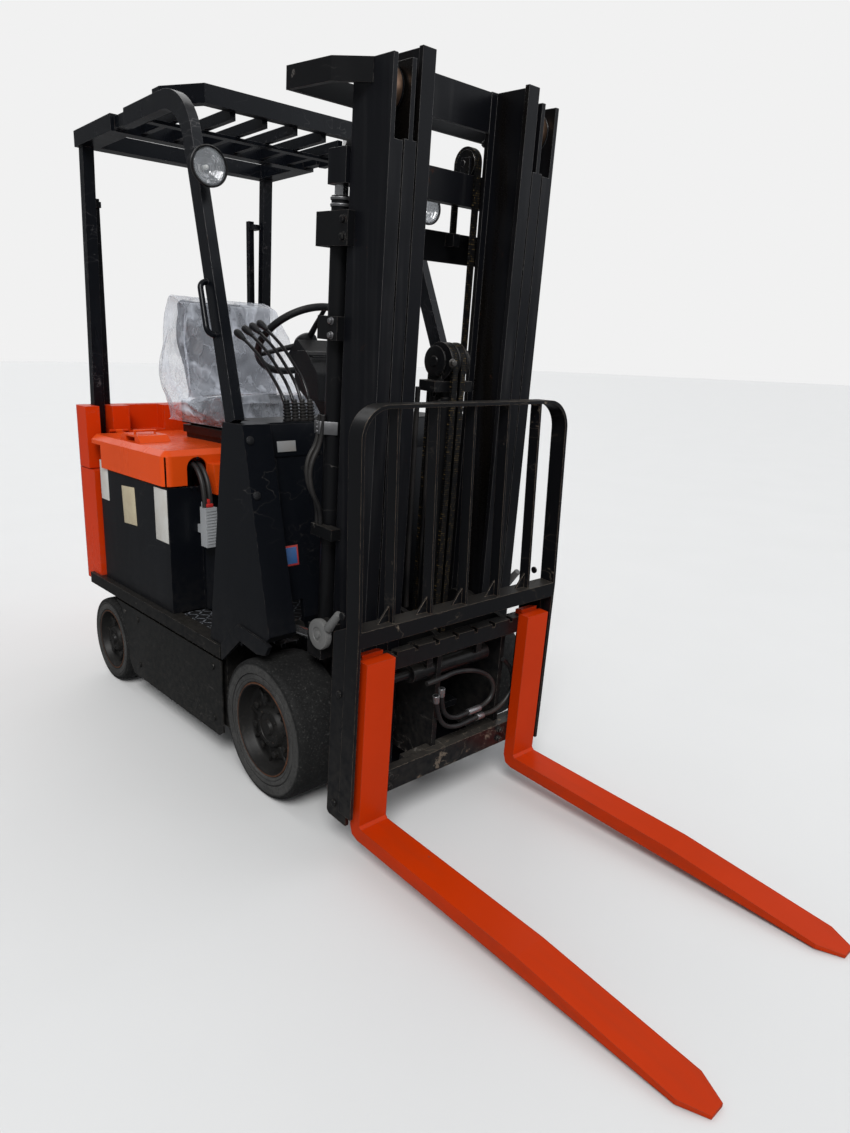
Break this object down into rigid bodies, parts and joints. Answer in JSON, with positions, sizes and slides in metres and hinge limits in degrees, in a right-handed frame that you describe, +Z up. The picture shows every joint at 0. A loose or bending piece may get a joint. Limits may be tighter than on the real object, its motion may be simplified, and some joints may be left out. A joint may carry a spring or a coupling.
{
  "type": "forklift",
  "caption": "Electric sit-down forklift with cushion tyres, a three-stage free-lift mast, side-shifting carriage, load backrest, two forks, overhead guard and hinged seat hood.",
  "frame": {"origin": "on the floor under the middle of the front axle, which is the middle of the length and width", "axes": "+X to the driver's right, +Y forward to the forks, +Z up"},
  "size_m": [1.019, 3.0908, 2.243],
  "materials": {
    "tyre": "matte",
    "rim_black": "satin, dusty",
    "axle_black": "satin",
    "body_black": "semi-gloss charcoal",
    "body_orange": "gloss orange",
    "tail_orange": "gloss orange paint",
    "fork_orange": "gloss red-orange",
    "battery_case": "matte",
    "mast_black": "satin",
    "greased_steel": "oiled",
    "chrome_rod": "polished",
    "chain_steel": "oiled",
    "seat_vinyl": "matte vinyl",
    "clear_film": "clear, creased",
    "plastic_black": "grained",
    "plug_grey": "moulded",
    "lamp_body": "satin with glass",
    "hose_rubber": "matte",
    "floor_mat": "chequered"
  },
  "bodies": {
    "chassis": {"frame": "body_black", "skirts": "body_black", "battery": "battery_case", "battery_covers": "body_black", "floor_plate": "floor_mat", "counterweight_lower": "tail_orange", "counterweight_upper": "tail_orange", "tail_foot": "tail_orange", "steer_axle": "axle_black", "drive_axle": "axle_black", "cowl": "body_black", "pillar_feet": "body_black", "overhead_guard": "body_black", "roof_bars": "body_black", "dash": "plastic_black", "levers": "plastic_black", "pedals": "axle_black", "headlamps": "lamp_body", "battery_connector": "plug_grey", "battery_cable": "hose_rubber"},
    "hood": {"hood": "body_orange", "hood_latch": "body_orange", "seat_base": "axle_black", "seat_cushion": "seat_vinyl", "seat_back": "seat_vinyl", "seat_cover": "clear_film"},
    "steering_wheel": {"steering_wheel": "plastic_black"},
    "front_wheel_right": {"front_tyre_right": "tyre", "front_rim_right": "rim_black"},
    "front_wheel_left": {"front_tyre_left": "tyre", "front_rim_left": "rim_black"},
    "knuckle_right": {"knuckle_right": "axle_black"},
    "knuckle_left": {"knuckle_left": "axle_black"},
    "rear_wheel_right": {"rear_tyre_right": "tyre", "rear_rim_right": "rim_black"},
    "rear_wheel_left": {"rear_tyre_left": "tyre", "rear_rim_left": "rim_black"},
    "mast_outer": {"mast_outer": "mast_black", "mast_brackets": "mast_black", "lift_barrels": "mast_black", "mast_hoses": "hose_rubber", "lift_chains_rear": "chain_steel"},
    "mast_middle": {"mast_middle": "mast_black", "lift_rods": "chrome_rod", "lift_chains_front": "chain_steel", "lift_chains_top": "chain_steel"},
    "mast_inner": {"mast_inner": "mast_black", "free_lift_barrel": "mast_black", "free_chain_rear": "chain_steel"},
    "free_lift_head": {"free_lift_head": "mast_black", "free_chain_top": "chain_steel", "free_chain_front": "chain_steel"},
    "carriage": {"carriage": "mast_black", "side_shift_barrel": "mast_black"},
    "side_shift_frame": {"side_shift_frame": "mast_black", "backrest": "mast_black", "fork_right": "fork_orange", "fork_left": "fork_orange"},
    "tilt_barrels": {"tilt_barrels": "axle_black"},
    "tilt_rods": {"tilt_rods": "chrome_rod"}
  },
  "joints": [
    {"name": "front_wheel_right_spin", "type": "hinge", "parent": "chassis", "child": "front_wheel_right", "pos_m": [0, 0, 0.2286], "axis": [1, 0, 0], "continuous": true},
    {"name": "front_wheel_left_spin", "type": "hinge", "parent": "chassis", "child": "front_wheel_left", "pos_m": [0, 0, 0.2286], "axis": [1, 0, 0], "continuous": true},
    {"name": "steer_right", "type": "hinge", "parent": "chassis", "child": "knuckle_right", "pos_m": [0.34, -1.22, 0.178], "axis": [0, 0, 1], "range_deg": [-75, 75]},
    {"name": "steer_left", "type": "hinge", "parent": "chassis", "child": "knuckle_left", "pos_m": [-0.34, -1.22, 0.178], "axis": [0, 0, 1], "range_deg": [-75, 75]},
    {"name": "rear_wheel_right_spin", "type": "hinge", "parent": "knuckle_right", "child": "rear_wheel_right", "pos_m": [0.34, -1.22, 0.178], "axis": [1, 0, 0], "continuous": true},
    {"name": "rear_wheel_left_spin", "type": "hinge", "parent": "knuckle_left", "child": "rear_wheel_left", "pos_m": [-0.34, -1.22, 0.178], "axis": [1, 0, 0], "continuous": true},
    {"name": "steering_wheel_turn", "type": "hinge", "parent": "chassis", "child": "steering_wheel", "pos_m": [0, -0.492, 1.438], "axis": [0, -0.6428, 0.766], "continuous": true},
    {"name": "hood_open", "type": "hinge", "parent": "chassis", "child": "hood", "pos_m": [0, -1.367, 1.046], "axis": [1, 0, 0], "range_deg": [0, 60]},
    {"name": "mast_tilt", "type": "hinge", "parent": "chassis", "child": "mast_outer", "pos_m": [0, 0, 0.2286], "axis": [-1, 0, 0], "range_deg": [-9.4, 1.6]},
    {"name": "tilt_barrel_swing", "type": "hinge", "parent": "chassis", "child": "tilt_barrels", "pos_m": [0, -0.286, 0.512], "axis": [-1, 0, 0], "range_deg": [-3.11, 0.57]},
    {"name": "tilt_rod_slide", "type": "slide", "parent": "tilt_barrels", "child": "tilt_rods", "axis": [0, 0.9973, 0.074], "range_m": [-0.05121, 0.00913]},
    {"name": "lift_middle", "type": "slide", "parent": "mast_outer", "child": "mast_middle", "axis": [0, 0.0593, 0.9982], "range_m": [0, 1.42], "deforming": ["lift_chains_rear"]},
    {"name": "lift_inner", "type": "slide", "parent": "mast_middle", "child": "mast_inner", "axis": [0, 0.0593, 0.9982], "range_m": [0, 1.42], "deforming": ["lift_chains_front"]},
    {"name": "carriage_lift", "type": "slide", "parent": "mast_inner", "child": "carriage", "axis": [0, 0.0593, 0.9982], "range_m": [0, 1.37], "deforming": ["free_chain_front"]},
    {"name": "free_lift", "type": "slide", "parent": "mast_inner", "child": "free_lift_head", "axis": [0, 0.0593, 0.9982], "range_m": [0, 0.685], "deforming": ["free_chain_rear"]},
    {"name": "side_shift", "type": "slide", "parent": "carriage", "child": "side_shift_frame", "axis": [1, 0, 0], "range_m": [-0.2, 0]}
  ],
  "couplings": [
    {"joint": "steer_left", "follows": "steer_right", "ratio": 1},
    {"joint": "tilt_barrel_swing", "follows": "mast_tilt", "ratio": 0.32596},
    {"joint": "tilt_rod_slide", "follows": "mast_tilt", "m_per_rad": 0.30907},
    {"joint": "lift_inner", "follows": "lift_middle", "ratio": 1},
    {"joint": "free_lift", "follows": "carriage_lift", "ratio": 0.5}
  ]
}
